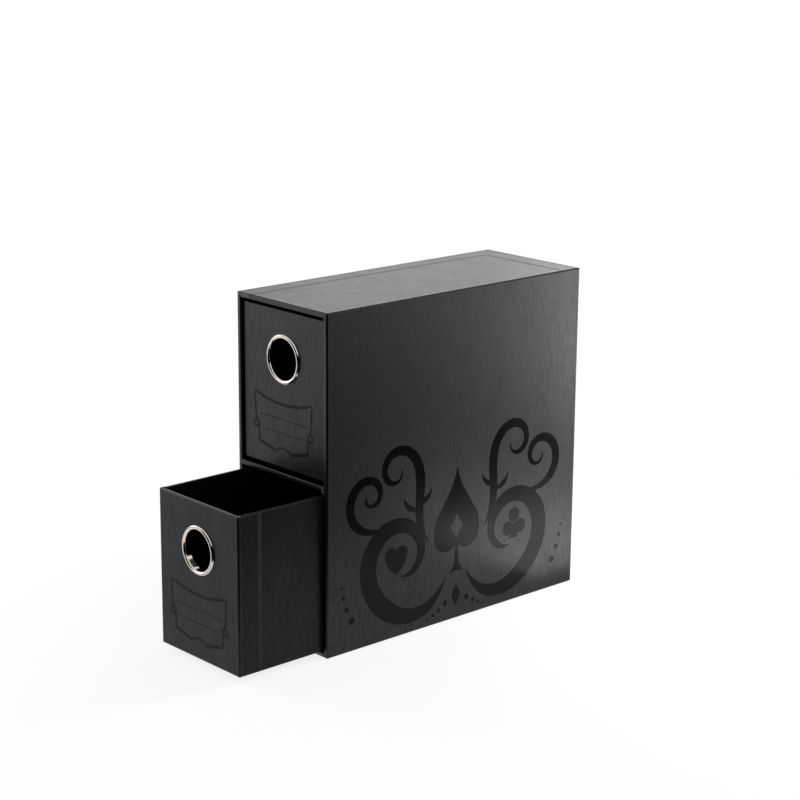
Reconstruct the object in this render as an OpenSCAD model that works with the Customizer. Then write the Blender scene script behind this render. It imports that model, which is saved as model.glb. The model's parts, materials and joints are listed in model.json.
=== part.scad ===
// Slipcase for playing cards with two stacked drawers, made of greyboard covered in paper.
// Each drawer front is pulled by a rolled metal finger ring.
// The origin is the centre of the underside: X to the right, the front towards -Y, Z up.

/* [Case] */
// Width of the case over its side walls
case_w = 85; // [78:1:110]
// Depth of the case from its front rim to its back
case_d = 215; // [140:1:300]
// Height of the case over both bays
case_h = 215; // [190:1:280]
// Greyboard in the walls of the case
case_board_t = 3; // [2.4:0.1:3.6]
// Greyboard in the shelf between the bays
shelf_board_t = 4; // [3:0.1:5]
// Outside radius of the covered case edges
case_edge_r = 0.8; // [0.5:0.1:1.1]

/* [Paper] */
// Thickness of the covering and lining paper
paper_t = 0.2; // [0.15:0.05:0.3]
// Fine joint between the edges of two sheets
seam_w = 0.15; // [0.1:0.05:0.25]
// Side sheet turned over onto the top, along the left edge
left_lap = 13; // [8:1:20]
// Side sheet turned over onto the top along the back edge, and main sheet turned onto the back
back_lap = 15; // [8:1:20]
// Cover turned round the front rim into the bays
rim_turn = 12; // [6:1:20]
// Cover turned under the case, below the base sheet
under_turn = 14; // [6:1:20]
// Border of the cover that the base sheet leaves bare
base_inset = 2; // [1:0.5:5]

/* [Drawers] */
// Greyboard in the drawers
drawer_board_t = 2; // [1.6:0.1:2.6]
// Outside radius of the covered drawer edges
drawer_edge_r = 0.7; // [0.5:0.1:0.8]
// Running gap between a drawer and each side of its bay
side_gap = 0.7; // [0.4:0.1:1.5]
// Running gap under a drawer
floor_gap = 0.3; // [0.2:0.1:0.8]
// Running gap over a drawer
head_gap = 2.1; // [1:0.1:4]
// Step from the front rim back to a closed drawer front
front_recess = 1.8; // [0.5:0.1:4]
// Gap behind a closed drawer
back_gap = 0.8; // [0.4:0.1:3]
// How far the lower drawer is pulled out in front of the rim at rest
lower_pull = 64; // [0:1:120]
// How far the front sheet reaches round the corners, past the drawer's front wall
corner_lap = 0.6; // [0.2:0.1:6]
// Cover turned over the drawer rim to the inside
drawer_rim_turn = 10; // [5:1:14]
// Cover turned under a drawer, above its base sheet
drawer_under_turn = 12; // [6:1:20]

/* [Finger ring] */
// Clear bore of the finger ring
ring_bore_d = 25.5; // [20:0.5:28]
// Width of the rolled front bead
ring_bead_w = 2.75; // [2:0.05:4]
// Sheet metal of the ring
ring_metal_t = 0.5; // [0.3:0.05:0.6]
// Ring centre below the top of the drawer
ring_drop = 30; // [24:1:40]
// Gap between the barrel of the ring and the hole in the board
ring_fit = 0.1; // [0.05:0.05:0.3]
// Thickness of the washer behind the drawer front
washer_t = 0.5; // [0.4:0.1:1]
// Width of the washer round the hole
washer_w = 1.65; // [1.3:0.05:3]
// Outside radius of the curl that grips the washer
curl_r = 0.9; // [0.8:0.1:1.2]

/* [Hidden] */
$fn = 48;
over = 1; // overrun of every cut
wall_t = case_board_t + 2 * paper_t;
shelf_t = shelf_board_t + 2 * paper_t;
base_t = wall_t + paper_t;
front_y = -case_d / 2;
bay_w = case_w - 2 * wall_t;
core_x = (bay_w + 2 * paper_t) / 2;
core_back_y = case_d / 2 - paper_t - case_board_t;
bay_h = (case_h - wall_t - base_t - shelf_t) / 2;
bay_d = case_d - wall_t;
lower_bay_z = base_t;
shelf_z = lower_bay_z + bay_h;
upper_bay_z = shelf_z + shelf_t;
left_seam_x = left_lap - case_w / 2;
back_seam_y = case_d / 2 - back_lap;
fold_inset = 1.5 * case_edge_r; // from a case edge in to flat paper, past its rounding
strip_x = (bay_w - seam_w) / 2; // half the length of the strips round the front edges
floor_mid_z = 2 * paper_t + case_board_t / 2; // middle of the bottom board

drawer_wall_t = drawer_board_t + 2 * paper_t;
drawer_floor_t = drawer_wall_t + paper_t;
drawer_w = bay_w - 2 * side_gap;
drawer_h = bay_h - floor_gap - head_gap;
drawer_l = bay_d - front_recess - back_gap;
drawer_core_x = drawer_w / 2 - paper_t - drawer_board_t;
drawer_core_front_y = paper_t + drawer_board_t;
drawer_core_back_y = drawer_l - drawer_core_front_y;
drawer_core_floor_z = 2 * paper_t + drawer_board_t;
corner_return = drawer_wall_t + corner_lap;

ring_bore_r = ring_bore_d / 2;
barrel_r = ring_bore_r + ring_metal_t;
ring_hole_r = barrel_r + ring_fit;
ring_z = drawer_h - ring_drop;
bead_r = ring_bead_w / 2;
ring_grip = drawer_wall_t + washer_t;

cover_colour = "#2b292b";
lining_colour = "#121112";
board_colour = "#8d8678";
metal_colour = "#d9d4cf";

// A box given by its lowest and highest corners
module span(low, high) {
    translate(low) cube(high - low);
}

// A rectangle with round corners, centred
module round_rectangle(w, l, r) {
    square([w - 2 * r, l], center = true);
    square([w, l - 2 * r], center = true);
    for (x = [-1, 1], y = [-1, 1])
        translate([x * (w / 2 - r), y * (l / 2 - r)]) circle(r);
}

// A block with every edge rounded, standing on Z 0
module round_block(w, d, h, r) {
    intersection() {
        translate([0, 0, -over]) linear_extrude(h + 2 * over) round_rectangle(w, d, r);
        translate([0, d / 2 + over, h / 2]) rotate([90, 0, 0])
            linear_extrude(d + 2 * over) round_rectangle(w, h, r);
        translate([-w / 2 - over, 0, h / 2]) rotate([90, 0, 90])
            linear_extrude(w + 2 * over) round_rectangle(d, h, r);
    }
}

// The outline of a pocket that opens upwards at Y 0, with its lips rounded outwards
module pocket_outline(w, depth, r) {
    translate([-w / 2, -depth]) square([w, depth + over]);
    difference() {
        translate([-w / 2 - r, -r]) square([w + 2 * r, r + over]);
        for (x = [-1, 1]) translate([x * (w / 2 + r), -r]) circle(r);
    }
}

// A pocket that opens upwards at Z 0, with all four lips rounded
module pocket(w, l, depth, r) {
    intersection() {
        translate([0, l / 2 + r + over, 0]) rotate([90, 0, 0])
            linear_extrude(l + 2 * (r + over)) pocket_outline(w, depth, r);
        translate([-w / 2 - r - over, 0, 0]) rotate([90, 0, 90])
            linear_extrude(w + 2 * (r + over)) pocket_outline(l, depth, r);
    }
}

// The case with both bays open at the front: inset 0 is the papered form, paper_t the bare boards
module case_form(inset) {
    r = case_edge_r - inset;
    difference() {
        translate([0, 0, paper_t + inset])
            round_block(case_w - 2 * inset, case_d - 2 * inset, case_h - paper_t - 2 * inset, r);
        for (z = [lower_bay_z, upper_bay_z])
            translate([0, front_y + inset, z + bay_h / 2]) rotate([90, 0, 0])
                pocket(bay_w + 2 * inset, bay_h + 2 * inset, bay_d, r);
    }
}

module case_paper() {
    difference() {
        case_form(0);
        case_form(paper_t);
    }
}

module case_board(low, high) {
    color(board_colour) intersection() {
        case_form(paper_t);
        span(low, high);
    }
}

module case_left_board() {
    case_board([-case_w / 2, front_y, 0], [-core_x, case_d / 2, case_h]);
}

module case_right_board() {
    case_board([core_x, front_y, 0], [case_w / 2, case_d / 2, case_h]);
}

module case_top_board() {
    case_board([-core_x, front_y, case_h - paper_t - case_board_t], [core_x, case_d / 2, case_h]);
}

module case_bottom_board() {
    case_board([-core_x, front_y, 0], [core_x, case_d / 2, base_t - paper_t]);
}

module case_back_board() {
    case_board([-core_x, core_back_y, base_t - paper_t],
               [core_x, case_d / 2, case_h - paper_t - case_board_t]);
}

module case_shelf_board() {
    case_board([-core_x, front_y, shelf_z + paper_t],
               [core_x, core_back_y, shelf_z + shelf_t - paper_t]);
}

// The inside of one bay behind its turned-in cover, out to the middle of the boards
module lining_place(bay_z, gap) {
    half_wall = case_board_t / 2;
    half_shelf = shelf_board_t / 2;
    low = paper_t + min(half_wall, half_shelf);
    span([-core_x - half_wall, front_y + rim_turn + gap, bay_z - low],
         [core_x + half_wall, core_back_y + half_wall, bay_z + bay_h + low]);
}

module bay_liner(bay_z) {
    color(lining_colour) intersection() {
        case_paper();
        lining_place(bay_z, seam_w);
    }
}

module upper_bay_liner() {
    bay_liner(upper_bay_z);
}

module lower_bay_liner() {
    bay_liner(lower_bay_z);
}

// Where a strip folded round a front edge between heights z0 and z1 lies, in front of the linings.
// Grown by one seam sideways, it is what the strip keeps clear in the sheets beside it.
module strip_place(z0, z1, grow) {
    span([-strip_x - grow, front_y - over, z0],
         [strip_x + grow, front_y + rim_turn, z1]);
}

module case_shelf_wrap() {
    color(cover_colour) intersection() {
        case_paper();
        strip_place(shelf_z - over, shelf_z + shelf_t + over, 0);
    }
}

module case_base_wrap() {
    color(cover_colour) {
        intersection() {
            case_paper();
            strip_place(-over, base_t + over, 0);
        }
        span([base_inset - case_w / 2, front_y + case_edge_r, 0],
             [case_w / 2 - base_inset, case_d / 2 - base_inset, paper_t]);
    }
}

// All of the cover that the two large sheets share
module large_sheets() {
    difference() {
        case_paper();
        lining_place(lower_bay_z, 0);
        lining_place(upper_bay_z, 0);
        strip_place(shelf_z - seam_w, shelf_z + shelf_t + seam_w, seam_w);
        strip_place(-over, base_t + seam_w, seam_w);
        span([under_turn - case_w / 2, front_y + rim_turn - over, -over],
             [case_w / 2 - under_turn, case_d / 2 - under_turn, floor_mid_z]);
    }
}

// Where the main sheet lies: top, right side, and its turns onto the back and underneath
module main_sheet_place(gap) {
    far = [case_w / 2 + over, case_d / 2 + over, case_h + over];
    span([left_seam_x - gap, front_y - over, case_h - wall_t - over],
         [far.x, back_seam_y + gap, far.z]);
    span([case_w / 2 - fold_inset - gap, front_y - over, case_h - wall_t - over], far);
    span([bay_w / 2 - over, front_y - over, -over],
         [far.x, far.y, case_h - wall_t]);
    span([case_w / 2 - back_lap - gap, case_d / 2 - wall_t / 2, -over],
         [far.x, far.y, case_h - fold_inset + gap]);
    span([case_w / 2 - under_turn - gap, front_y - over, -over],
         [far.x, far.y, floor_mid_z]);
}

// The mitred cut in the rim at the top right corner
module right_mitre() {
    translate([case_w / 2 - wall_t / 2, front_y, case_h - wall_t / 2]) rotate([0, -45, 0])
        cube([norm([wall_t, wall_t]) + 2 * seam_w, 2 * fold_inset, seam_w], center = true);
}

// The upright cut in the rim at the top left corner
module left_relief() {
    span([-(bay_w + seam_w) / 2, front_y - over, case_h - wall_t - seam_w],
         [-(bay_w - seam_w) / 2, front_y + fold_inset, case_h + over]);
}

// The cut where the left and back laps meet on the top
module lap_mitre() {
    translate([(left_seam_x - case_w / 2) / 2, (back_seam_y + case_d / 2) / 2, case_h])
        rotate([0, 0, -atan2(back_lap, left_lap)])
            cube([norm([left_lap, back_lap]), seam_w, 2 * fold_inset], center = true);
}

module case_main_wrap() {
    color(cover_colour) difference() {
        intersection() {
            large_sheets();
            main_sheet_place(0);
        }
        right_mitre();
    }
}

module case_side_wrap() {
    color(cover_colour) difference() {
        large_sheets();
        main_sheet_place(seam_w);
        left_relief();
        lap_mitre();
    }
}

// A drawer with its front face on Y 0: inset 0 is the papered form, paper_t the bare boards
module drawer_form(inset) {
    r = drawer_edge_r - inset;
    difference() {
        translate([0, drawer_l / 2, paper_t + inset])
            round_block(drawer_w - 2 * inset, drawer_l - 2 * inset,
                        drawer_h - paper_t - 2 * inset, r);
        translate([0, drawer_l / 2, drawer_h - inset])
            pocket(drawer_w - 2 * (drawer_wall_t - inset), drawer_l - 2 * (drawer_wall_t - inset),
                   drawer_h - drawer_floor_t, r);
    }
}

module ring_hole() {
    translate([0, drawer_wall_t + over, ring_z]) rotate([90, 0, 0])
        cylinder(r = ring_hole_r, h = drawer_wall_t + 2 * over);
}

module drawer_paper() {
    difference() {
        drawer_form(0);
        drawer_form(paper_t);
        ring_hole();
    }
}

module drawer_board(low, high) {
    color(board_colour) intersection() {
        drawer_form(paper_t);
        span(low, high);
    }
}

module drawer_front_board() {
    difference() {
        drawer_board([-drawer_w / 2, 0, 0], [drawer_w / 2, drawer_core_front_y, drawer_h]);
        ring_hole();
    }
}

module drawer_back_board() {
    drawer_board([-drawer_w / 2, drawer_core_back_y, 0], [drawer_w / 2, drawer_l, drawer_h]);
}

// side is -1 for the left board and 1 for the right one
module drawer_side_board(side) {
    inner = side * drawer_core_x;
    outer = side * drawer_w / 2;
    drawer_board([min(inner, outer), drawer_core_front_y, 0],
                 [max(inner, outer), drawer_core_back_y, drawer_h]);
}

module drawer_bottom_board() {
    drawer_board([-drawer_core_x, drawer_core_front_y, 0],
                 [drawer_core_x, drawer_core_back_y, drawer_core_floor_z]);
}

// The inside below the turned-in cover, out to the middle of the boards: gap raises it
module drawer_liner_place(gap) {
    half_wall = drawer_board_t / 2;
    span([-drawer_core_x - half_wall, drawer_core_front_y - half_wall,
          drawer_core_floor_z - half_wall],
         [drawer_core_x + half_wall, drawer_core_back_y + half_wall,
          drawer_h - drawer_rim_turn + gap]);
}

module drawer_liner() {
    color(lining_colour) intersection() {
        drawer_paper();
        drawer_liner_place(0);
    }
}

// All of the cover that the front sheet and the body sheet share
module drawer_sheets() {
    difference() {
        drawer_paper();
        drawer_liner_place(seam_w);
        span([drawer_under_turn - drawer_w / 2, drawer_under_turn, -over],
             [drawer_w / 2 - drawer_under_turn, drawer_l - drawer_under_turn,
              drawer_core_floor_z - drawer_board_t / 2]);
    }
}

module drawer_front_wrap() {
    color(cover_colour) intersection() {
        drawer_sheets();
        span([-drawer_w / 2 - over, -over, -over],
             [drawer_w / 2 + over, corner_return, drawer_h + over]);
    }
}

module drawer_body_wrap() {
    color(cover_colour) difference() {
        drawer_sheets();
        span([-drawer_w / 2 - over, -over, -over],
             [drawer_w / 2 + over, corner_return + seam_w, drawer_h + over]);
    }
}

module drawer_base_sheet() {
    color(cover_colour)
        span([base_inset - drawer_w / 2, base_inset, 0],
             [drawer_w / 2 - base_inset, drawer_l - base_inset, paper_t]);
}

// Half of a rolled bead in section, on the positive side of Y
module half_roll(centre, r) {
    intersection() {
        difference() {
            translate([centre, 0]) circle(r);
            translate([centre, 0]) circle(r - ring_metal_t);
        }
        translate([centre - r, 0]) square([2 * r, r]);
    }
}

// One strip of sheet metal rolled over at both ends, seated on Z 0 with its bead above
module finger_ring() {
    color(metal_colour) translate([0, 0, ring_z]) rotate([90, 0, 0]) rotate_extrude() {
        half_roll(ring_bore_r + bead_r, bead_r);
        translate([ring_bore_r, -ring_grip]) square([ring_metal_t, ring_grip]);
        translate([0, -ring_grip]) mirror([0, 1]) half_roll(ring_bore_r + curl_r, curl_r);
    }
}

module ring_washer() {
    color(metal_colour) translate([0, ring_grip, ring_z]) rotate([90, 0, 0]) difference() {
        cylinder(r = ring_hole_r + washer_w, h = washer_t);
        translate([0, 0, -over]) cylinder(r = ring_hole_r, h = washer_t + 2 * over);
    }
}

module in_upper_bay() {
    translate([0, front_y + front_recess, upper_bay_z + floor_gap]) children();
}

module in_lower_bay() {
    translate([0, front_y - lower_pull, lower_bay_z + floor_gap]) children();
}

module upper_drawer_front_board() { in_upper_bay() drawer_front_board(); }
module upper_drawer_back_board() { in_upper_bay() drawer_back_board(); }
module upper_drawer_left_board() { in_upper_bay() drawer_side_board(-1); }
module upper_drawer_right_board() { in_upper_bay() drawer_side_board(1); }
module upper_drawer_bottom_board() { in_upper_bay() drawer_bottom_board(); }
module upper_drawer_front_wrap() { in_upper_bay() drawer_front_wrap(); }
module upper_drawer_body_wrap() { in_upper_bay() drawer_body_wrap(); }
module upper_drawer_base_sheet() { in_upper_bay() drawer_base_sheet(); }
module upper_drawer_liner() { in_upper_bay() drawer_liner(); }
module upper_drawer_finger_ring() { in_upper_bay() finger_ring(); }
module upper_drawer_ring_washer() { in_upper_bay() ring_washer(); }

module lower_drawer_front_board() { in_lower_bay() drawer_front_board(); }
module lower_drawer_back_board() { in_lower_bay() drawer_back_board(); }
module lower_drawer_left_board() { in_lower_bay() drawer_side_board(-1); }
module lower_drawer_right_board() { in_lower_bay() drawer_side_board(1); }
module lower_drawer_bottom_board() { in_lower_bay() drawer_bottom_board(); }
module lower_drawer_front_wrap() { in_lower_bay() drawer_front_wrap(); }
module lower_drawer_body_wrap() { in_lower_bay() drawer_body_wrap(); }
module lower_drawer_base_sheet() { in_lower_bay() drawer_base_sheet(); }
module lower_drawer_liner() { in_lower_bay() drawer_liner(); }
module lower_drawer_finger_ring() { in_lower_bay() finger_ring(); }
module lower_drawer_ring_washer() { in_lower_bay() ring_washer(); }

case_left_board();
case_right_board();
case_top_board();
case_bottom_board();
case_back_board();
case_shelf_board();
case_main_wrap();
case_side_wrap();
case_shelf_wrap();
case_base_wrap();
upper_bay_liner();
lower_bay_liner();
upper_drawer_front_board();
upper_drawer_back_board();
upper_drawer_left_board();
upper_drawer_right_board();
upper_drawer_bottom_board();
upper_drawer_front_wrap();
upper_drawer_body_wrap();
upper_drawer_base_sheet();
upper_drawer_liner();
upper_drawer_finger_ring();
upper_drawer_ring_washer();
lower_drawer_front_board();
lower_drawer_back_board();
lower_drawer_left_board();
lower_drawer_right_board();
lower_drawer_bottom_board();
lower_drawer_front_wrap();
lower_drawer_body_wrap();
lower_drawer_base_sheet();
lower_drawer_liner();
lower_drawer_finger_ring();
lower_drawer_ring_washer();
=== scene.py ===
# %% [markdown]
# # A card box with two drawers
# The real box is greyboard wrapped in matt black paper. Two open-top drawers slide in a tall, narrow case,
# and a rolled metal ring in each drawer front takes a fingertip. The boards, papers and rings come ready
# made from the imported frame, in metres and in place. This lesson gives them their finishes, adds the gloss
# printing and the fine folds of the paper, and lights and frames the scene.

# %% Load the frame
import json
import math

import bmesh
import bpy
from mathutils import Matrix, Vector


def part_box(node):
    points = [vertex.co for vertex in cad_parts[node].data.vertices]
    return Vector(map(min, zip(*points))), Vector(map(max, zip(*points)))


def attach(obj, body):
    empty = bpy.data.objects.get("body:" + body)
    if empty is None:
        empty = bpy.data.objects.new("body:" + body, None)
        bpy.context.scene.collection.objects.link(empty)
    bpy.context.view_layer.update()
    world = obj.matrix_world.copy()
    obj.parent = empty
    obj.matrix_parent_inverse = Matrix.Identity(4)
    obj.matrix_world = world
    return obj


MM = 0.001
DRAWERS = ("upper_drawer", "lower_drawer")

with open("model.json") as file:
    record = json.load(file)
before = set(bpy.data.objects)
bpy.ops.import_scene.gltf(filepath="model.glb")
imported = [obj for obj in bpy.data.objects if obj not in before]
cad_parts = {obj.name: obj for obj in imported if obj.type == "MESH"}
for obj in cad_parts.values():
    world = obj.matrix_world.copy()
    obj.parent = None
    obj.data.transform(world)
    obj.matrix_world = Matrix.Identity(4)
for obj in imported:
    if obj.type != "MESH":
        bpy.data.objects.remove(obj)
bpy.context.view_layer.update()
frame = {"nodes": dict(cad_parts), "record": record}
nodes = frame["nodes"]
print("nodes in the frame:", len(nodes))

# %% [markdown]
# ## The camera
# The photograph was taken with a long lens from the front right and a little above. A long lens keeps
# upright edges nearly parallel, so the angle is set first and the distance follows from the size of the
# box in the picture. The camera's own turn is three rotations in a row: swing, tilt and a slight roll. They
# could be typed in as one set of angles, but as separate matrices each of them keeps its plain meaning.

# %% Place the camera
VIEW_SWING = math.radians(47.674)
VIEW_DROP = math.radians(14.814)
VIEW_ROLL = math.radians(0.460)
VIEW_PLACE = Vector((0.93684, -0.86405, 0.47313))
FILM_WIDTH = 36
FOCAL_LENGTH = 92.803

lens = bpy.data.cameras.new("photo_camera")
lens.sensor_width = FILM_WIDTH
lens.lens = FOCAL_LENGTH
camera = bpy.data.objects.new("photo_camera", lens)
camera.matrix_world = (
    Matrix.Translation(VIEW_PLACE)
    @ Matrix.Rotation(VIEW_SWING, 4, "Z")
    @ Matrix.Rotation(math.pi / 2 - VIEW_DROP, 4, "X")
    @ Matrix.Rotation(VIEW_ROLL, 4, "Z")
)
bpy.context.scene.collection.objects.link(camera)
bpy.context.scene.camera = camera
bpy.context.scene.view_settings.view_transform = "Standard"
print("camera to box:", round(VIEW_PLACE.length, 3), "m")

# %% [markdown]
# ## Helpers for shader nodes
# A material is a small graph. Each node is made, set and wired in the same way, so one helper does all
# three: a value goes into a socket, and an output of another node becomes a link. Sums, changes of range
# and mixes of two colours come up in every finish, so each of them gets a short name too.

# %% Helpers for nodes
def add(tree, kind, sockets=None, **settings):
    made = tree.nodes.new(kind)
    for key, value in settings.items():
        setattr(made, key, value)
    for name, value in (sockets or {}).items():
        if isinstance(value, bpy.types.NodeSocket):
            tree.links.new(value, made.inputs[name])
        else:
            made.inputs[name].default_value = value
    return made


def math_of(tree, operation, first, second=0.0, clamp=False):
    made = add(tree, "ShaderNodeMath", {0: first, 1: second}, operation=operation, use_clamp=clamp)
    return made.outputs[0]


def between(tree, value, low, high, ends=(0.0, 1.0), **settings):
    """Leads a value from the first end to the second, while it goes from low to high."""
    sockets = {"Value": value, "From Min": low, "From Max": high, "To Min": ends[0], "To Max": ends[1]}
    return add(tree, "ShaderNodeMapRange", sockets, **settings).outputs[0]


def blend(tree, share, first, second):
    """Mixes two colours: the first at a share of 0, the second at 1."""
    return add(tree, "ShaderNodeMix", {0: share, 6: first, 7: second}, data_type="RGBA").outputs[2]


print("helpers for nodes: one to add, and three for sums, ranges and mixes")

# %% [markdown]
# ## Helpers for materials and objects
# A drawn form shows up only when it has become a mesh, has a material and hangs in the scene on an object.
# The operators of the editor would do this on whatever is selected, so a script is steadier when it makes
# the mesh and the object itself. A new material starts with an empty graph and ends with a surface.

# %% Helpers for materials and objects
def neutral(tone):
    return (tone, tone, tone, 1)


def new_material(name):
    made = bpy.data.materials.new(name)
    made.use_nodes = True
    made.node_tree.nodes.clear()
    return made, made.node_tree


def set_surface(tree, shader):
    add(tree, "ShaderNodeOutputMaterial", {"Surface": shader.outputs[0]})


def new_object(name, form, paint):
    """Turns a finished form into an object of the scene, with its material."""
    mesh = bpy.data.meshes.new(name)
    form.to_mesh(mesh)
    form.free()
    mesh.materials.append(paint)
    made = bpy.data.objects.new(name, mesh)
    bpy.context.scene.collection.objects.link(made)
    return made


print("a neutral tone has four parts:", neutral(0.5))

# %% [markdown]
# ## Surroundings
# The box stands in a white room. A room bright enough to look white would throw a lot of light back onto
# black paper. So the world has a plain grey strength for lighting, and shows as white only to the camera
# and in reflections. The Light Path node tells the two apart.

# %% Surroundings
WHITE = neutral(1)
SURROUND_LIGHT = 0.2


def seen_ray(tree):
    """1 for rays from the camera, and for those that metal or gloss sends on."""
    path = add(tree, "ShaderNodeLightPath")
    mirrored = math_of(tree, "ADD", path.outputs["Is Glossy Ray"], path.outputs["Is Transmission Ray"])
    return math_of(tree, "ADD", path.outputs["Is Camera Ray"], mirrored, clamp=True)


world = bpy.data.worlds.new("surroundings")
world.use_nodes = True
bpy.context.scene.world = world
tree = world.node_tree
tree.nodes.clear()
strength = between(tree, seen_ray(tree), 0, 1, (SURROUND_LIGHT, 1.0))
glow = add(tree, "ShaderNodeBackground", {"Color": WHITE, "Strength": strength})
add(tree, "ShaderNodeOutputWorld", {"Surface": glow.outputs[0]})
print("surroundings light the box with", SURROUND_LIGHT)

# %% [markdown]
# ## The floor
# The floor is white paper that runs on without an edge. It is a plain square, wide enough to leave the
# picture on all sides. Its own matt grey takes the shadow of the box, and a glow that only the camera and
# reflections see makes it white. The glow grows away from the box, so the floor melts into the background.

# %% The floor
FLOOR_TONE = 0.5
FLOOR_GLOW_NEAR = 0.8
FLOOR_GLOW_FAR = 1.0
FLOOR_GLOW_REACH = 1.6
FLOOR_SIZE = 12

floor_paint, tree = new_material("floor_paint")
matt = add(tree, "ShaderNodeBsdfDiffuse", {"Color": neutral(FLOOR_TONE)})
place = add(tree, "ShaderNodeTexCoord").outputs["Object"]
away = add(tree, "ShaderNodeVectorMath", {0: place}, operation="LENGTH").outputs["Value"]
lift = between(tree, away, 0, FLOOR_GLOW_REACH, (FLOOR_GLOW_NEAR, FLOOR_GLOW_FAR))
white = math_of(tree, "MULTIPLY", lift, seen_ray(tree))
shine = add(tree, "ShaderNodeEmission", {"Color": WHITE, "Strength": white})
set_surface(tree, add(tree, "ShaderNodeAddShader", {0: matt.outputs[0], 1: shine.outputs[0]}))

sheet = bmesh.new()
bmesh.ops.create_grid(sheet, x_segments=1, y_segments=1, size=FLOOR_SIZE / 2)
new_object("floor", sheet, floor_paint)
print("floor:", FLOOR_SIZE, "m across")

# %% [markdown]
# ## Lamps
# Matt black paper shows its form by long, soft changes of tone. In the photograph the fronts are lit
# evenly from the left, the top mirrors a bright area behind it, and the right side is dark at the front
# and turns grey towards the back. A strip lamp close to the back corner gives that change, because its
# angle alters quickly along the side, and a weak lamp that lies on the floor lifts the side's lower far
# corner. Every lamp is a soft rectangle that the camera doesn't see.

# %% Lamps
BOX_MIDDLE = (0, 0, 0.11)
SIDE_MIDDLE = (0.0425, 0.08, 0.14)
PATCH_PLACE = Vector((0.13, 0.19, 0.003))
PATCH_AIM = PATCH_PLACE + Vector((0, 0, 1))


def soft_lamp(name, place, width, height, power, aim=BOX_MIDDLE):
    light = bpy.data.lights.new(name, "AREA")
    light.shape = "RECTANGLE"
    light.size = width
    light.size_y = height
    light.energy = power
    lamp = bpy.data.objects.new(name, light)
    facing = (Vector(aim) - Vector(place)).to_track_quat("-Z", "Y").to_matrix().to_4x4()
    lamp.matrix_world = Matrix.Translation(place) @ facing
    lamp.visible_camera = False
    bpy.context.scene.collection.objects.link(lamp)
    print(name, power, "W")


soft_lamp("side_strip", (0.16, 0.34, 0.15), width=0.08, height=0.25, power=0.82, aim=SIDE_MIDDLE)
soft_lamp("side_fill", (0.22, 0.32, 0.15), width=0.1, height=0.25, power=0.1, aim=SIDE_MIDDLE)
soft_lamp("front_fill", (-0.5, -0.5, 0.2), width=0.3, height=0.3, power=0.15)
soft_lamp("left_lamp", (-0.6, -0.35, 0.3), width=0.3, height=0.3, power=0.6)
soft_lamp("back_low", (-0.5, 0.9, 0.3), width=0.4, height=0.4, power=0.5)
soft_lamp("back_high", (-0.6, 0.6, 0.45), width=0.4, height=0.4, power=0.35)
soft_lamp("floor_patch", PATCH_PLACE, width=0.14, height=0.2, power=0.25, aim=PATCH_AIM)

# %% [markdown]
# ## Black cards
# Polished metal only looks like metal where it mirrors something dark beside something bright. So a studio
# leans a large black card in front of the corner that faces the camera, and stands a second one in front of
# the drawers. The rings get dark bands on their right, and the upright corners turn black. A third card
# lies almost flat on the floor to the right, so that satin paper low on the side doesn't mirror the white
# floor. The cards show in mirrored light alone: they throw no shadow, and the camera doesn't see them.

# %% Black cards
CARD_TONE = 0.01
FLOOR_CLEARANCE = 0.001

black_card_paint, tree = new_material("black_card_paint")
set_surface(tree, add(tree, "ShaderNodeBsdfDiffuse", {"Color": neutral(CARD_TONE)}))


def black_card(name, swing, near, length, width, slope):
    """A card that starts on the floor, near metres away towards the swing, and rises at the slope."""
    leaning = (
        Matrix.Rotation(math.radians(swing), 4, "Z")
        @ Matrix.Translation((near, 0, FLOOR_CLEARANCE))
        @ Matrix.Rotation(-math.radians(slope), 4, "Y")
        @ Matrix.Translation((length / 2, 0, 0))
    )
    sheet = bmesh.new()
    bmesh.ops.create_grid(sheet, x_segments=1, y_segments=1, size=0.5)
    bmesh.ops.scale(sheet, verts=sheet.verts, vec=(length, width, 1))
    bmesh.ops.transform(sheet, verts=sheet.verts, matrix=leaning)
    card = new_object(name, sheet, black_card_paint)
    card.visible_camera = False
    card.visible_diffuse = False
    card.visible_shadow = False
    print(name, length, "x", width, "m")


black_card("leaning_card", swing=-35, near=0.2, length=0.95, width=1.0, slope=34)
black_card("front_card", swing=-88, near=0.75, length=0.75, width=0.85, slope=90)
black_card("side_card", swing=10, near=0.2, length=0.6, width=0.9, slope=2)

# %% [markdown]
# ## Grain of the paper
# The covering paper is dyed through and brushed, so fine streaks run one way along the sheet. They run
# upright on the walls and across the top. Real streaks would be far too fine to model, so a noise is
# stretched along the grain, and the finishes below let it change their tone, gloss and height. The way
# that a surface faces tells which two axes lie in it.

# %% Place and facing
SQUARE_TO = 0.7


def parts_of(tree, kind):
    """X, Y and Z of the place on the piece, which is Object, or of the way it faces, which is Normal."""
    where = add(tree, "ShaderNodeTexCoord").outputs[kind]
    return add(tree, "ShaderNodeSeparateXYZ", {"Vector": where}).outputs


def faces(tree, facing, axis):
    """1 where the surface is square to an axis, and 0 elsewhere."""
    return math_of(tree, "GREATER_THAN", math_of(tree, "ABSOLUTE", facing[axis]), SQUARE_TO)


print("square to an axis from", round(math.degrees(math.acos(SQUARE_TO))), "degrees")

# %% Grain
GRAIN_WIDTH = 1.5 * MM
GRAIN_LENGTH = 9 * MM
GRAIN_HEIGHT = 0.03 * MM


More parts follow.
